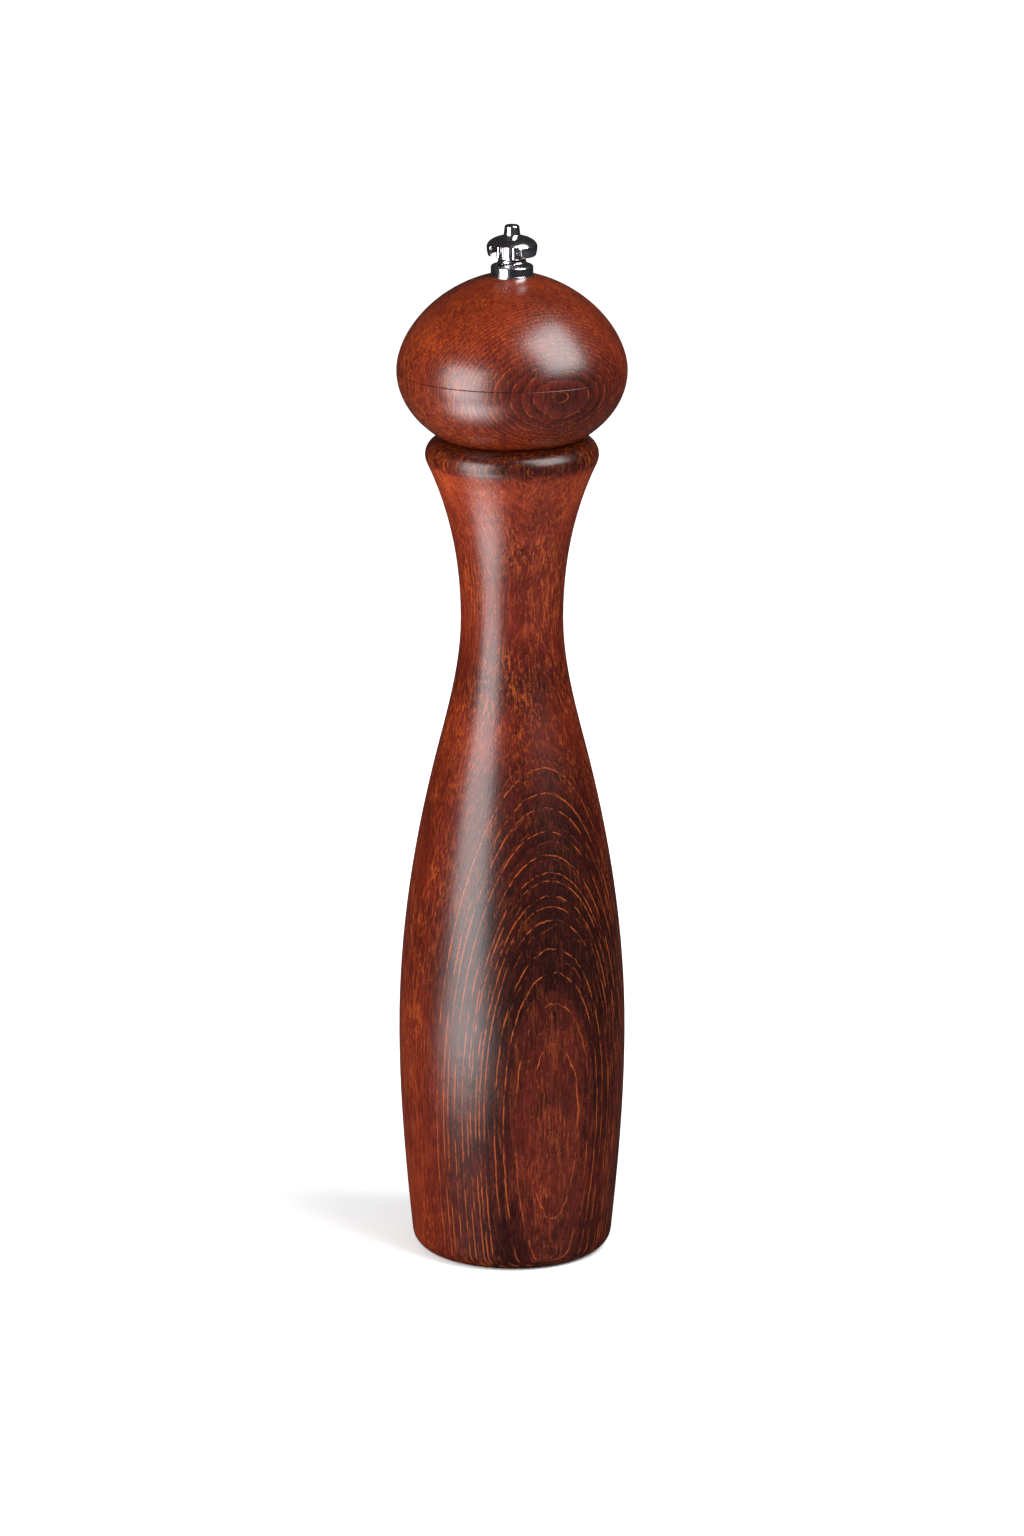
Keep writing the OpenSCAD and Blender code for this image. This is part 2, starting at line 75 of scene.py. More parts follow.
def turn_angle(before, here, after):
    """How far a path turns at a point, in degrees."""
    a = Vector(here) - Vector(before)
    b = Vector(after) - Vector(here)
    if a.length < 1e-9 or b.length < 1e-9:
        return 0.0
    return math.degrees(a.angle(b))


def smooth_path(path):
    """The path with its gentle turns made into curves, and its corners kept."""
    fine_step, plain_step = 0.5 * MM, 4 * MM
    most_fine, most_plain = 12, 40
    points = [Vector(p) for p in path]
    corners = {0, len(points) - 1}
    for i in range(1, len(points) - 1):
        if turn_angle(points[i - 1], points[i], points[i + 1]) > CORNER:
            corners.add(i)
    out = [points[0]]
    for i in range(len(points) - 1):
        here, there = points[i], points[i + 1]
        length = (there - here).length
        before = points[i - 1] if i not in corners else here * 2 - there
        after = points[i + 2] if i + 1 not in corners else there * 2 - here
        count = max(1, min(most_fine, round(length / fine_step)))
        if i in corners and i + 1 in corners:
            count = max(1, min(most_plain, round(length / plain_step)))
        slope_here = (there - before) / ((there - here).length + (here - before).length) * length
        slope_there = (after - here) / ((after - there).length + (there - here).length) * length
        for k in range(1, count + 1):
            t = k / count
            out.append(
                (2 * t**3 - 3 * t**2 + 1) * here + (3 * t**2 - 2 * t**3) * there
                + (t**3 - 2 * t**2 + t) * slope_here + (t**3 - t**2) * slope_there
            )
    return out


def round_corners(path, radius):
    """A closed path whose corners are rounded to the radius, or less where its sides are short."""
    steps = 4
    longest = 0.45               # of a side may go into one of its corners
    out = []
    count = len(path)
    for i in range(count):
        before, here, after = path[i - 1], path[i], path[(i + 1) % count]
        angle = turn_angle(before, here, after)
        if angle < CORNER:
            out.append(here)
            continue
        back, ahead = before - here, after - here
        reach = radius * math.tan(math.radians(angle) / 2)
        reach = min(reach, longest * back.length, longest * ahead.length)
        start = here + back.normalized() * reach
        end = here + ahead.normalized() * reach
        for k in range(steps + 1):
            t = k / steps
            out.append((1 - t)**2 * start + 2 * t * (1 - t) * here + t**2 * end)
    return out


def mesh_piece(name, points, faces, materials, face_materials=None):
    """A smooth-shaded mesh object."""
    mesh = bpy.data.meshes.new(name)
    mesh.from_pydata(points, [], faces)
    for material in materials:
        mesh.materials.append(material)
    if face_materials:
        mesh.polygons.foreach_set("material_index", face_materials)
    mesh.polygons.foreach_set("use_smooth", [True] * len(mesh.polygons))
    mesh.update()
    piece = bpy.data.objects.new(name, mesh)
    bpy.context.scene.collection.objects.link(piece)
    return piece


def turned_piece(name, path, materials, bored):
    """A closed path of (radius, height) turned about the axis. bored says for each point whether it is on a
    bore, which has the second material."""
    points, faces, marks = [], [], []
    count = len(path)
    for radius, height in path:
        for k in range(SEGMENTS):
            angle = 2 * math.pi * k / SEGMENTS
            points.append((radius * math.cos(angle), radius * math.sin(angle), height))
    for i in range(count):
        j = (i + 1) % count
        for k in range(SEGMENTS):
            n = (k + 1) % SEGMENTS
            faces.append((i * SEGMENTS + k, i * SEGMENTS + n, j * SEGMENTS + n, j * SEGMENTS + k))
            marks.append(1 if bored[i] and bored[j] else 0)
    return mesh_piece(name, points, faces, materials, marks)


def stand_in_for(piece, node, body):
    """Lets a piece ride on a body in place of a CAD node."""
    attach(piece, body)
    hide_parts(node)


def turned_copy(name, node, materials, edge_mm):
    """A CAD node turned again with fine curves and eased edges."""
    outside = smooth_path(wall_rings(node, outer=True))
    bore = smooth_path(wall_rings(node, outer=False))
    bore.reverse()
    path = round_corners(outside + bore, edge_mm * MM)
    bore_points = {tuple(p) for p in bore}
    return turned_piece(name, path, materials, bored=[tuple(p) in bore_points for p in path])


# ---------------------------------------------------------------- the knob

KNOB_Z = 290.2                   # foot of the knob, just above the ferrule
HUB_R, HUB_H = 4.4, 4.7
THREAD_R = 2.58                  # the hub's bore
CAP_R, CAP_Z = 7.15, 293.9       # the cap's widest place
DOME_H = 3.28
CAP_WALL = 0.75
POST_R, POST_TOP = 2.35, 300.0
POST_FILLET = 0.5                # from the post into the dome
LOBE_DROP, LOBE_TUCK = 2.6, 0.45  # how far the lobes hang down, and draw in towards their edge
LOBE_GAP = 9.6                   # width of the opening between the lobes
LOBE_TURN = -20                  # where the first lobe stands, in degrees from +X


def even(first, last, steps):
    """Evenly spaced numbers from first to last, one more than steps."""
    return [first + (last - first) * i / steps for i in range(steps + 1)]


def arc(centre, radius, first, last, steps):
    """Points of an arc as (radius, height), between two angles in degrees."""
    angles = [math.radians(a) for a in even(first, last, steps)]
    return [(centre[0] + radius * math.cos(a), centre[1] + radius * math.sin(a)) for a in angles]


def columns_piece(name, columns, material):
    """A piece made of closed columns round the axis, each (angle in degrees, [(radius, height) in mm])."""
    sharp = math.radians(38)
    count = len(columns[0][1])
    points, faces = [], []
    for angle, path in columns:
        across, along = math.cos(math.radians(angle)), math.sin(math.radians(angle))
        points += [(r * across * MM, r * along * MM, z * MM) for r, z in path]
    for c in range(len(columns)):
        here, there = c * count, (c + 1) % len(columns) * count
        for i in range(count):
            n = (i + 1) % count
            faces.append((here + i, here + n, there + n, there + i))
    piece = mesh_piece(name, points, faces, [material])
    piece.data.set_sharp_from_angle(angle=sharp)
    return piece


def knob_hub(material):
    """The fluted hub, open below for the thread."""
    flutes, flute_r, flute_depth = 12, 0.6, 0.25
    foot_round, foot_edge, top_edge = 0.9, 0.08, 0.12
    columns_round, rings = 384, 24
    top = KNOB_Z + HUB_H
    low, high = KNOB_Z + 0.5, top - 0.3
    low_fade, high_fade = 0.5, 0.35          # over which a flute runs out
    flute_centre = HUB_R + flute_r - flute_depth
    heights = [low + (high - low) * (1 - math.cos(math.radians(a))) / 2 for a in even(0, 180, rings)]
    columns = []
    for k in range(columns_round):
        angle = 360 * k / columns_round
        off = math.radians((angle + 180 / flutes) % (360 / flutes) - 180 / flutes)
        side = flute_centre * math.sin(off)
        groove = 0.0
        if abs(side) < flute_r:
            groove = max(0.0, HUB_R - flute_centre * math.cos(off) + math.sqrt(flute_r**2 - side**2))
        path = [(THREAD_R, KNOB_Z)]
        path += arc((HUB_R - foot_round, KNOB_Z + foot_edge), foot_edge, -90, -45, 2)
        for z in heights:
            share = min(1.0, (z - KNOB_Z) / (foot_round + 0.3))
            plain = HUB_R - foot_round * (1 - math.sqrt(1 - (1 - share)**2))
            fade = min(1.0, (z - low) / low_fade, (high - z) / high_fade)
            path.append((plain - groove * math.sqrt(max(0.0, fade)), z))
        path += arc((HUB_R - top_edge, top - top_edge), top_edge, 0, 90, 4)
        path.append((THREAD_R, top))
        columns.append((angle, path))
    return columns_piece("fluted_hub", columns, material)


def lobe_edge(angle):
    """Height of the cap's lower edge: high in the two openings and low on the lobes between them."""
    corner = 1.2                 # rounding of an opening's upper corners
    tip = 1.1                    # rounding of a lobe's lower corners
    opening_top = CAP_Z + 0.55
    lobe_bottom = CAP_Z - LOBE_DROP
    from_opening = (angle - LOBE_TURN) % 180 - 90
    side = abs(CAP_R * math.sin(math.radians(from_opening)))
    if side < LOBE_GAP / 2:
        past = max(0.0, side - (LOBE_GAP / 2 - corner))
        return opening_top - corner + math.sqrt(corner**2 - past**2)
    past = max(0.0, tip - (side - LOBE_GAP / 2))
    return lobe_bottom + tip - math.sqrt(tip**2 - past**2)


def turns_from_opening():
    """Angles from an opening's middle where the cap has a column, close together at the lobes' edges."""
    lobe_starts = math.degrees(math.asin(LOBE_GAP / 2 / CAP_R))
    steps = (-6, -4, -2.4, -1.3, -0.6, -0.2, -0.01, 0.01, 0.2, 0.6, 1.3, 2.4, 4)
    turns = [round(t, 4) for t in even(0, 90, 36) + [lobe_starts + step for step in steps]]
    return sorted(set(turns) | {-t for t in turns if t < 90})


def shell_radius(z, inset):
    """Radius of the cap's shell at a height, taken so far in from its outside."""
    if z >= CAP_Z:
        return (CAP_R - inset) * math.sqrt(max(0.0, 1 - ((z - CAP_Z) / (DOME_H - inset))**2))
    return CAP_R - inset - LOBE_TUCK * ((CAP_Z - z) / LOBE_DROP)**2


def post_outline(dome_foot):
    """The post from its rounded top down its taper, and through the fillet to where the dome begins."""
    taper, top_round = 0.25, 0.6
    flat = 0.8                   # the fillet is a little lower than it is wide
    foot_z = dome_foot + POST_FILLET * flat
    top_r, top_z = POST_R - taper, POST_TOP - top_round
    outline = arc((top_r - top_round, top_z), top_round, 90, 0, 8)
    outline += list(zip(even(top_r, POST_R, 6), even(top_z, foot_z, 6)))[1:]
    outline += [(POST_R + POST_FILLET * (1 - math.cos(a)), foot_z - flat * POST_FILLET * math.sin(a))
                for a in (0.35, 0.7, 1.05, 1.35)]
    return outline


def knob_cap(material):
    """The domed cap with its post, whose thin shell hangs down in two lobes."""
    middle_r = 0.02              # leaves a pinhole on the axis, so that no face shrinks to a line
    rim = CAP_WALL / 2           # the shell's edge is a half circle
    skirt_top = CAP_Z + 0.9      # above the openings
    inner_top = KNOB_Z + HUB_H + 0.4
    dome_starts = math.degrees(math.acos((POST_R + POST_FILLET) / CAP_R))
    dome_ends = math.degrees(math.asin((skirt_top - CAP_Z) / DOME_H))
    dome = [(CAP_R * math.cos(a), CAP_Z + DOME_H * math.sin(a))
            for a in map(math.radians, even(dome_starts, dome_ends, 20))]
    crown = [(middle_r, POST_TOP)] + post_outline(dome[0][1]) + dome
    columns = []
    for opening in (90, 270):
        for turn in turns_from_opening():
            angle = LOBE_TURN + opening + turn
            rim_z = lobe_edge(angle) + rim
            outside = [(shell_radius(z, 0.0), z) for z in even(skirt_top, rim_z, 14)[1:]]
            edge = arc((shell_radius(rim_z, rim), rim_z), rim, 0, -180, 6)[1:-1]
            inside = [(shell_radius(z, CAP_WALL), z) for z in even(rim_z, skirt_top, 8)]
            ceiling = [(HUB_R - 0.1, inner_top), (middle_r, inner_top)]
            columns.append((angle, crown + outside + edge + inside + ceiling))
    return columns_piece("lobed_cap", columns, material)


# ---------------------------------------------------------------- shader graphs

def srgb(red, green, blue):
    """A linear colour from 0 to 255 display values."""
    values = [v / 255 for v in (red, green, blue)]
    return tuple(v / 12.92 if v <= 0.04045 else ((v + 0.055) / 1.055) ** 2.4 for v in values) + (1.0,)


class Graph:
    """A material's nodes, with one short call for each kind of node. The seed moves all of its noise."""

    def __init__(self, name, seed=0.0):
        self.material = bpy.data.materials.new(name)
        self.material.use_nodes = True
        self.nodes = self.material.node_tree.nodes
        self.links = self.material.node_tree.links
        self.shader = self.nodes["Principled BSDF"]
        coordinates = self.nodes.new("ShaderNodeTexCoord")
        self.facing = coordinates.outputs["Normal"]
        self.place = self.vector("SCALE", coordinates.outputs["Object"], scale=1 / MM)
        self.offset = (seed * 7.3, seed * 3.1, seed * 11.7)

    def feed(self, socket, value):
        """Links a socket to another one, or sets its value."""
        if isinstance(value, bpy.types.NodeSocket):
            self.links.new(value, socket)
        elif value is not None:
            socket.default_value = value

    def vector(self, operation, first, second=None, third=None, scale=None):
        node = self.nodes.new("ShaderNodeVectorMath")
        node.operation = operation
        for socket, value in zip(node.inputs, (first, second, third, scale)):
            self.feed(socket, value)
        gives_number = operation in ("DOT_PRODUCT", "LENGTH", "DISTANCE")
        return node.outputs["Value" if gives_number else "Vector"]

    def height(self):
        """Height above the foot, in millimetres."""
        axes = self.nodes.new("ShaderNodeSeparateXYZ")
        self.feed(axes.inputs[0], self.place)
        return axes.outputs["Z"]

    def math(self, operation, first, second=None, third=None, clamp=False):
        node = self.nodes.new("ShaderNodeMath")
        node.operation = operation
        node.use_clamp = clamp
        for socket, value in zip(node.inputs, (first, second, third)):
            self.feed(socket, value)
        return node.outputs[0]

    def spread(self, value, low, high, out_low=0.0, out_high=1.0):
        """value from low to high as a smooth step from out_low to out_high."""
        node = self.nodes.new("ShaderNodeMapRange")
        node.interpolation_type = "SMOOTHSTEP"
        for socket, number in zip(node.inputs, (value, low, high, out_low, out_high)):
            self.feed(socket, number)
        return node.outputs[0]

    def noise(self, scale, detail=2.0, roughness=0.5):
        """Noise from 0 to 1 whose grains are 1/scale millimetres, where scale may differ along X, Y and Z."""
        scales = scale if isinstance(scale, tuple) else (scale,) * 3
        placed = self.vector("MULTIPLY_ADD", self.place, scales, self.offset)
        node = self.nodes.new("ShaderNodeTexNoise")
        self.feed(node.inputs["Vector"], placed)
        node.inputs["Scale"].default_value = 1.0
        node.inputs["Detail"].default_value = detail
        node.inputs["Roughness"].default_value = roughness
        return node.outputs["Fac"]

    def ramp(self, value, stops, kind="LINEAR"):
        """Colours or plain amounts by value, through stops of (value, colour or amount)."""
        node = self.nodes.new("ShaderNodeValToRGB")
        node.color_ramp.interpolation = kind
        elements = node.color_ramp.elements
        while len(elements) < len(stops):
            elements.new(0.5)
        for element, (position, colour) in zip(elements, stops):
            element.position = position
            element.color = colour if isinstance(colour, tuple) else (colour, colour, colour, 1.0)
        self.feed(node.inputs["Fac"], value)
        return node.outputs["Color"]

    def mix(self, amount, first, second, kind="MIX"):
        """The first colour turned into the second by an amount from 0 to 1."""
        node = self.nodes.new("ShaderNodeMix")
        node.data_type = "RGBA"
        node.blend_type = kind
        self.feed(node.inputs["Factor"], amount)
        self.feed(node.inputs[6], first)
        self.feed(node.inputs[7], second)
        return node.outputs[2]

    def bump(self, height, distance_mm, strength):
        """A normal for a surface that rises by distance_mm where height is 1."""
        node = self.nodes.new("ShaderNodeBump")
        node.inputs["Strength"].default_value = strength
        node.inputs["Distance"].default_value = distance_mm * MM
        self.feed(node.inputs["Height"], height)
        return node.outputs["Normal"]

    def finish(self, **sockets):
        """Sets the shader's sockets, given by name with _ for a space, and returns the material."""
        for name, value in sockets.items():
            self.feed(self.shader.inputs[name.replace("_", " ")], value)
        return self.material


# ---------------------------------------------------------------- wood

RING_CURVE = 160.0               # radius of the log's rings, in millimetres
LINE_WIDTH = 0.16                # of a ring's bright line on the surface, in millimetres


def ring_axis(azimuth, lean):
    """The way in which depth in the log grows."""
    angle = math.radians(azimuth)
    return (math.sin(angle), -math.cos(angle), -lean)


def ring_depth(g, azimuth, lean):
    """How far out in the log a point is, in millimetres."""
    angle = math.radians(azimuth)
    sideways = (math.cos(angle), math.sin(angle), 0)
    along = g.vector("DOT_PRODUCT", g.place, ring_axis(azimuth, lean))
    across = g.vector("DOT_PRODUCT", g.place, sideways)
    bent = g.math("DIVIDE", g.math("MULTIPLY", across, across), 2 * RING_CURVE)
    return g.math("ADD", along, bent)


def line_depth(g, azimuth, lean):
    """The depth that a line takes up so that it is equally wide however the surface faces."""
    flattest = 0.004             # keeps some width where the surface lies along the rings
    slope = g.vector("DOT_PRODUCT", g.facing, ring_axis(azimuth, lean))
    steepness = g.math("SUBTRACT", 1.0, g.math("MULTIPLY", slope, slope))
    return g.math("MULTIPLY", g.math("SQRT", g.math("MAXIMUM", steepness, flattest)), LINE_WIDTH)


def by_amount(g, value, stops):
    """A smooth curve of amounts through stops, each (value, amount). A ramp holds no amount below 0, so the
    least one is taken off first and added again."""
    low, high = stops[0][0], stops[-1][0]
    least = min(amount for _, amount in stops)
    share = g.math("DIVIDE", g.math("SUBTRACT", value, low), high - low, clamp=True)
    above = g.ramp(share, [((at - low) / (high - low), amount - least) for at, amount in stops], "EASE")
    return g.math("ADD", above, least)


def wander_of(g, scale, reach, detail=1):
    """Noise from -reach to reach."""
    return g.math("MULTIPLY_ADD", g.noise(scale, detail), 2 * reach, -reach)


def clear_lines(g, depth, rings, width):
    """Lines at the depths of the rings that stand out, which fade and break here and there."""
    nearest = None
    for ring in rings:
        distance = g.math("ABSOLUTE", g.math("SUBTRACT", depth, ring))
        nearest = distance if nearest is None else g.math("MINIMUM", nearest, distance)
    line = g.spread(g.math("DIVIDE", nearest, width), 0.55, 1.25, 1.0, 0.0)
    unworn = g.spread(g.noise((0.4, 0.4, 0.08), 4, 0.65), 0.42, 0.58)
    return g.math("MULTIPLY", line, unworn)


def fine_lines(g, depth, gap, width):
    """The fine rings between and round those: their lines, and the dark late wood beside each."""
    wild = g.math("ADD", depth, wander_of(g, (0.05, 0.05, 0.02), 1.4, 2))
    share = g.math("FRACT", g.math("DIVIDE", wild, gap))
    from_ring = g.math("MULTIPLY", g.math("ABSOLUTE", g.math("SUBTRACT", share, 0.5)), gap)
    line = g.spread(g.math("DIVIDE", from_ring, width), 0.3, 1.2, 1.0, 0.0)
    unworn = g.spread(g.noise((0.5, 0.5, 0.2), 3, 0.65), 0.46, 0.66)
    late = g.ramp(share, [(0.0, 0.5), (0.47, 1.0), (0.53, 0.0), (1.0, 0.5)])
    return g.math("MULTIPLY", line, unworn), late


def stain(g, tone):
    """The stained wood's colour by lightness, and the brighter colour of lines and flecks in it."""
    colour = g.ramp(tone, [
        (0.0, srgb(26, 2, 1)), (0.2, srgb(46, 6, 2)), (0.45, srgb(70, 14, 4)),
        (0.7, srgb(98, 29, 9)), (1.0, srgb(132, 52, 22)),
    ])
    bright = g.mix(0.35, srgb(166, 76, 20), g.mix(1.0, colour, srgb(255, 214, 150), "MULTIPLY"))
    return colour, bright


def stained_wood(name, azimuth, lean, waver, clear_rings, ring_gap, contrast,
                 tones, height_tones_and_shading, flecks, gloss, seed, seam_z=None):
    """Red-brown stained beech under a satin lacquer.

    azimuth, lean: how the rings lie. waver: how far they wander, slowly and quickly.
    clear_rings: depths of the rings that stand out.
    ring_gap, contrast: spacing of the fine rings, and how far they stand out.
    tones, height_tones_and_shading, flecks: lightness by depth, lightness by height and the share of bright flecks by
    depth, each a list of (millimetres, amount).
    gloss: how much of the lacquer is left. seam_z: height of a glued seam, if there is one."""
    g = Graph(name, seed)
    height = g.height()
    slow = wander_of(g, (0.03, 0.03, 0.014), waver[0])
    quick = wander_of(g, (0.5, 0.5, 0.22), waver[1], 2)
    depth = g.math("ADD", ring_depth(g, azimuth, lean), g.math("ADD", slow, quick))
    width = line_depth(g, azimuth, lean)
    clear = clear_lines(g, depth, clear_rings, width)
    fine, late = fine_lines(g, depth, ring_gap, width)

    # Strands, flecks and pores that run along the log
    fibre = g.noise((2.4, 2.4, 0.2), 4, 0.7)
    strand = g.spread(g.noise((1.5, 1.5, 0.1), 4, 0.65), 0.5, 0.62)
    fleck = g.spread(g.noise((1.6, 1.6, 0.5), 3, 0.6), 0.56, 0.66)
    pore = g.spread(g.noise((1.9, 1.9, 0.3), 3, 0.6), 0.43, 0.34)
    patchy = g.spread(g.noise((0.11, 0.11, 0.05), 3, 0.6), 0.35, 0.65, 0.25, 1.0)
    wanted = g.math("MULTIPLY", by_amount(g, depth, flecks), patchy)

    # Lightness by depth and height, which holds painted light and shade, with clouds, fibres and late wood
    tone = g.math("ADD", by_amount(g, depth, tones), by_amount(g, height, height_tones_and_shading))
    tone = g.math("ADD", tone, wander_of(g, (0.06, 0.06, 0.03), 0.24, 4))
    tone = g.math("ADD", tone, wander_of(g, (0.4, 0.4, 0.2), 0.2, 4))
    tone = g.math("ADD", tone, g.math("MULTIPLY_ADD", fibre, 0.7, -0.35))
    tone = g.math("SUBTRACT", tone, g.math("MULTIPLY", late, 0.4 * contrast))
    colour, bright = stain(g, tone)
    marks = [
        (g.math("MULTIPLY", strand, wanted), 0.6), (g.math("MULTIPLY", fleck, wanted), 0.75),
        (fine, contrast), (clear, 0.75),
    ]
    for mark, strength in marks:
        colour = g.mix(g.math("MULTIPLY", mark, strength), colour, bright)
    colour = g.mix(g.math("MULTIPLY", pore, 0.5), colour, srgb(24, 4, 2))
    if seam_z is not None:
        beside = g.math("ABSOLUTE", g.math("SUBTRACT", height, seam_z))
        colour = g.mix(g.spread(beside, 0.08, 0.26, 0.25, 0.0), colour, srgb(20, 4, 2))

    # Lacquer: slight orange peel, over a grain that has sunk a little
    pits = g.noise((1.9, 1.9, 0.9), 3, 0.65)
    grain = g.bump(g.math("ADD", fibre, pits), 0.05, 0.6)
    coat = g.bump(pits, 0.05, 0.6)
    rough = g.spread(g.noise((0.1, 0.1, 0.05), 3, 0.6), 0.2, 0.8, 0.38, 0.5)
    return g.finish(
        Base_Color=colour, Roughness=rough, Normal=grain, Specular_IOR_Level=0.02,
        Coat_Weight=gloss, Coat_Roughness=0.28, Coat_IOR=1.52, Coat_Normal=coat,
    )


def raw_wood(name, azimuth, lean):
    """The unstained wood of the bores, with darker patches of the stain that ran in, all over them."""
    ring_gap = 1.25
    g = Graph(name)
    rings = g.math("FRACT", g.math("DIVIDE", ring_depth(g, azimuth, lean), ring_gap))
    late = g.ramp(rings, [(0.0, 0.9), (0.1, 0.0), (0.95, 1.0), (1.0, 0.9)])
    fibre = g.noise((2.4, 2.4, 0.2), 4, 0.65)
    dust = g.noise((0.3, 0.3, 0.2), 4, 0.6)
    colour = g.mix(fibre, srgb(186, 138, 92), srgb(160, 108, 66))
    colour = g.mix(g.math("MULTIPLY", late, 0.35), colour, srgb(128, 80, 46))
    colour = g.mix(g.spread(dust, 0.5, 0.75, 0, 0.5), colour, srgb(94, 62, 42))
    tool_marks = g.noise((0.05, 0.05, 2.2), 2)
    return g.finish(Base_Color=colour, Roughness=0.72, Normal=g.bump(tool_marks, 0.08, 0.6))


# ---------------------------------------------------------------- metal and plastic

def bright_plate(name):
    """Polished nickel-chrome plate, with fine wiping marks and a little haze."""
    g = Graph(name)
    haze = g.spread(g.noise(0.5, 4, 0.6), 0.35, 0.75, 0.14, 0.2)
    scratch = g.noise((0.6, 0.6, 9.0), 3, 0.7)
    rough = g.math("ADD", haze, g.spread(scratch, 0.55, 0.8, 0.0, 0.08))
    tint = g.mix(g.noise(0.3, 2), srgb(226, 226, 230), srgb(208, 207, 212))
    dent = g.bump(g.noise(0.8, 2, 0.5), 0.012, 0.5)
    return g.finish(Base_Color=tint, Metallic=1.0, Roughness=rough, Normal=dent)


TURNED_LINES = (0.3, 0.3, 6.0)   # noise that a tool leaves round a turned piece
DRAWN_LINES = (5.0, 5.0, 0.1)    # and that a die leaves along a drawn bar


def metal(name, light, dark, rough_low, rough_high, lines=TURNED_LINES):
    """Bare or plated metal, with machining lines and dull patches."""
    line_depth = 0.02
    g = Graph(name)
    patches = g.noise(0.35, 4, 0.6)
    machined = g.noise(lines, 3, 0.7)
    colour = g.mix(patches, light, dark)
    colour = g.mix(g.spread(machined, 0.55, 0.8, 0, 0.4), colour, dark)
    rough = g.spread(g.noise(0.8, 3), 0.25, 0.75, rough_low, rough_high)
    grooved = g.bump(machined, line_depth, 0.8)
    return g.finish(Base_Color=colour, Metallic=1.0, Roughness=rough, Normal=grooved)


def moulded_nylon(name):
    """Black moulded nylon, with a fine spark-eroded grain."""
    g = Graph(name)
    grain = g.noise(3.2, 3, 0.6)
    colour = g.mix(g.noise(0.3, 3), srgb(34, 34, 36), srgb(48, 47, 47))
    rough = g.spread(grain, 0.3, 0.7, 0.42, 0.6)
    return g.finish(Base_Color=colour, Roughness=rough, Normal=g.bump(grain, 0.05, 0.6))


def give(material, *nodes):
    """Puts a material on carried-over CAD nodes."""
    for node in nodes:
        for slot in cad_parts[node].material_slots:
            slot.material = material


# ---------------------------------------------------------------- pieces

BODY_AZIMUTH = 22                # where the log's outer face is, in degrees from the front towards +X
BODY_LEAN = 0.0455               # slope of the rings along the height
HEAD_AZIMUTH = 25
HEAD_LEAN = 0.1                  # which puts the eye of the head's rings just below the seam
SEAM_Z = 258.8

body_wood = stained_wood(
    "stained_body", BODY_AZIMUTH, BODY_LEAN,
    waver=(0.4, 0.12), ring_gap=1.3, contrast=0.3, gloss=0.7, seed=1.0,
    clear_rings=(14.7, 16.7, 17.8, 19.5, 21.1, 22.2, 22.7, 23.6, 24.2, 24.9, 26.3, 27.3, 28.4, 29.4),
    # By depth: the low lightness from 19 to 27 mm falls on the front and right of the body. It is partly the
    # wood's own darker band and partly painted shade for the side turned away from the left light.
    tones=[(-6, 0.66), (6, 0.6), (14, 0.44), (19, 0.26), (27, 0.16), (29, 0.34), (31, 0.46)],
    # By height: the drop from 234 to 240 mm is painted shade on the bead's top, under the head. The rest only
    # makes the wood lighter or darker by height.
    height_tones_and_shading=[(0, 0.06), (25, 0.06), (60, 0.0), (90, -0.14), (120, -0.16), (145, -0.14), (155, -0.06),
                  (171, -0.28), (188, -0.06), (205, -0.1), (218, 0.0), (227, 0.16), (231, 0.16), (234, -0.28),
                  (240, -0.4)],
    flecks=[(-20, 0.8), (6, 0.8), (15, 0.4), (20, 0.2), (27, 0.16), (31, 0.6)],
)
head_wood = stained_wood(
    "stained_head", HEAD_AZIMUTH, HEAD_LEAN,
    waver=(0.12, 0.03), ring_gap=0.9, contrast=0.65, gloss=1.0, seed=2.0,
    clear_rings=(6.76,),
    tones=[(-60, 0.58), (-20, 0.58), (-6, 0.54), (2, 0.46), (5, 0.36), (7, 0.4)],
    # By height: painted light and shade, darker low on the head and lighter towards its crown.
    height_tones_and_shading=[(238, -0.08), (246, 0.0), (262, 0.04), (270, 0.14), (286, 0.12)],
    flecks=[(-60, 0.8), (-8, 0.8), (0, 0.45), (6, 0.2)],
    seam_z=SEAM_Z,
)
body_bore = raw_wood("raw_body_bores", BODY_AZIMUTH, BODY_LEAN)
head_bore = raw_wood("raw_head_bores", HEAD_AZIMUTH, HEAD_LEAN)
chrome = bright_plate("bright_chrome_plate")
burr_steel = metal("hardened_burr_steel", srgb(118, 117, 118), srgb(70, 68, 68), 0.3, 0.5)
spring_steel = metal("drawn_spring_steel", srgb(150, 150, 154), srgb(96, 95, 96), 0.2, 0.36)
zinc = metal("zinc_plated_steel", srgb(186, 187, 190), srgb(134, 134, 132), 0.24, 0.42)
alloy = metal("drawn_alloy", srgb(200, 201, 204), srgb(160, 160, 163), 0.26, 0.4, DRAWN_LINES)
brass = metal("turned_brass", srgb(206, 170, 100), srgb(150, 112, 58), 0.2, 0.36)

turned = (
    # node, materials of its outside and its bores, eased edge in mm, body it rides on, slot
    ("body", [body_wood, body_bore], 0.4, "mill", "wood_body"),
    ("head_base", [head_wood, head_bore], 0.1, "head", "wood_head"),
    ("head_crown", [head_wood, head_bore], 0.1, "head", "wood_head"),
    ("ferrule", [chrome, chrome], 0.05, "head", "bright_chrome"),
)
for node, materials, edge_mm, body, slot in turned:
    stand_in_for(turned_copy("turned_" + node, node, materials, edge_mm), node, body)
stand_in_for(knob_hub(chrome), "knob_hub", "knob")
stand_in_for(knob_cap(chrome), "knob_cap", "knob")

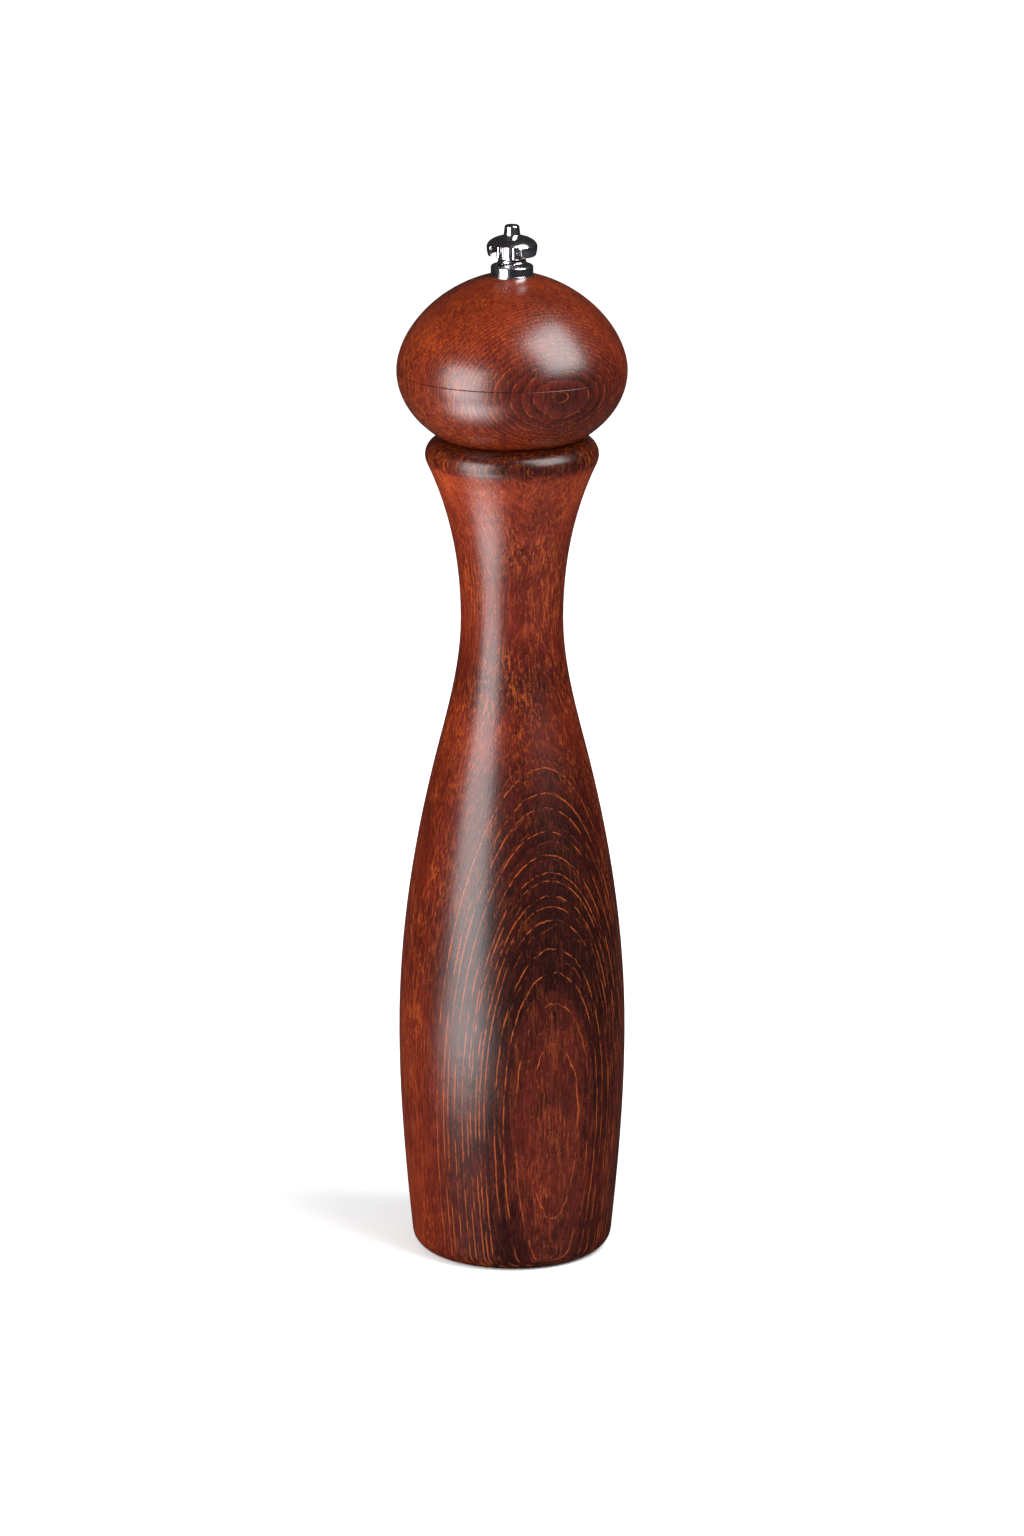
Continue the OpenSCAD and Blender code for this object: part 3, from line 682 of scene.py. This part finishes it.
give(moulded_nylon("moulded_nylon"), "grinder_housing")
give(burr_steel, "stator", "rotor")
give(spring_steel, "spring", "stator_snap_ring", "rotor_clip")
give(zinc, "retaining_bar", "bar_screws", "housing_screws", "spring_seat", "rotor_washer")
give(zinc, "drive_plate", "plate_screws")
give(alloy, "drive_shaft")
give(brass, "head_bush")


# ---------------------------------------------------------------- studio

MIDDLE = Vector((0, 0, 150 * MM))    # half-way up the mill, where the lights aim
PAINTED_POOL_CENTRE = (-240, -225, 0)        # of the painted pool of light on the floor under the left softbox, seen only in reflections, in mm
PAINTED_POOL_GLOW = 11.0


def pale_floor():
    """A matt white floor that glows a little away from the mill, as a lit sweep does. In reflections it is
    painted dark, but for a painted pool of light under the left softbox that glows only in reflections."""
    size = 12.0                  # metres each way
    glow_starts, glow_full, sweep_glow = 110, 450, 0.6
    painted_pool_full, painted_pool_ends = 40, 210
    g = Graph("pale_floor")
    path = g.nodes.new("ShaderNodeLightPath")
    in_gloss = path.outputs["Is Glossy Ray"]
    otherwise = g.math("SUBTRACT", 1.0, in_gloss)
    white = g.mix(g.noise(0.01, 3), srgb(250, 250, 250), srgb(248, 248, 248))
    # In reflections the floor is painted dark.
    colour = g.mix(in_gloss, white, srgb(48, 48, 50))
    sweep = g.spread(g.vector("LENGTH", g.place), glow_starts, glow_full, 0.0, sweep_glow)
    # Painted pool of light: a glow that shows only in reflections.
    painted_pool = g.spread(g.vector("DISTANCE", g.place, PAINTED_POOL_CENTRE), painted_pool_full, painted_pool_ends, PAINTED_POOL_GLOW, 0.0)
    glow = g.math("ADD", g.math("MULTIPLY", sweep, otherwise), g.math("MULTIPLY", painted_pool, in_gloss))
    material = g.finish(
        Base_Color=colour, Roughness=0.35, Specular_IOR_Level=0.08,
        Emission_Color=(1, 1, 1, 1), Emission_Strength=glow,
    )
    corners = [(-size, -size, 0), (size, -size, 0), (size, size, 0), (-size, size, 0)]
    floor = mesh_piece("floor", corners, [(0, 1, 2, 3)], [material])


def softbox(name, azimuth, elevation, distance, width, height, power):
    """A rectangular light that faces the mill. Azimuth is from the front towards +X."""
    light = bpy.data.lights.new(name, "AREA")
    light.shape = "RECTANGLE"
    light.size, light.size_y = width, height
    light.energy = power
    lamp = bpy.data.objects.new(name, light)
    bpy.context.scene.collection.objects.link(lamp)
    a, e = math.radians(azimuth), math.radians(elevation)
    back = Vector((math.sin(a) * math.cos(e), -math.cos(a) * math.cos(e), math.sin(e)))
    lamp.location = MIDDLE + back * distance
    lamp.rotation_mode = "QUATERNION"
    lamp.rotation_quaternion = (-back).to_track_quat("-Z", "Y")


def white_room():
    """An even surround: white to the camera, half as strong as a light, and faint in reflections."""
    on_mill, in_reflections = 0.5, 0.03
    world = bpy.data.worlds.new("white_room")
    bpy.context.scene.world = world
    world.use_nodes = True
    nodes, links = world.node_tree.nodes, world.node_tree.links
    path = nodes.new("ShaderNodeLightPath")
    by_gloss = nodes.new("ShaderNodeMapRange")
    links.new(path.outputs["Is Glossy Ray"], by_gloss.inputs["Value"])
    by_gloss.inputs["To Min"].default_value = on_mill
    by_gloss.inputs["To Max"].default_value = in_reflections
    strength = nodes.new("ShaderNodeMath")
    strength.operation = "MAXIMUM"
    links.new(by_gloss.outputs["Result"], strength.inputs[0])
    links.new(path.outputs["Is Camera Ray"], strength.inputs[1])
    background = nodes["Background"]
    background.inputs["Color"].default_value = (1, 1, 1, 1)
    links.new(strength.outputs[0], background.inputs["Strength"])


def camera():
    """The camera stands in front, a little above the head, and looks slightly down."""
    distance, eye_z, looks_down = 1.8, 0.6259, 15.03
    data = bpy.data.cameras.new("camera")
    data.sensor_width = 36.0
    data.lens = 152.7
    view = bpy.data.objects.new("camera", data)
    bpy.context.scene.collection.objects.link(view)
    view.location = (0.0, -distance, eye_z)
    view.rotation_euler = (math.radians(90 - looks_down), 0.0, 0.0)
    bpy.context.scene.camera = view


pale_floor()
white_room()
softbox("key_left", azimuth=-47, elevation=10, distance=0.45, width=0.3, height=0.43, power=3.8)
softbox("key_right", azimuth=59, elevation=46, distance=1.2, width=0.83, height=0.95, power=25)
camera()
bpy.context.scene.view_settings.view_transform = "Standard"
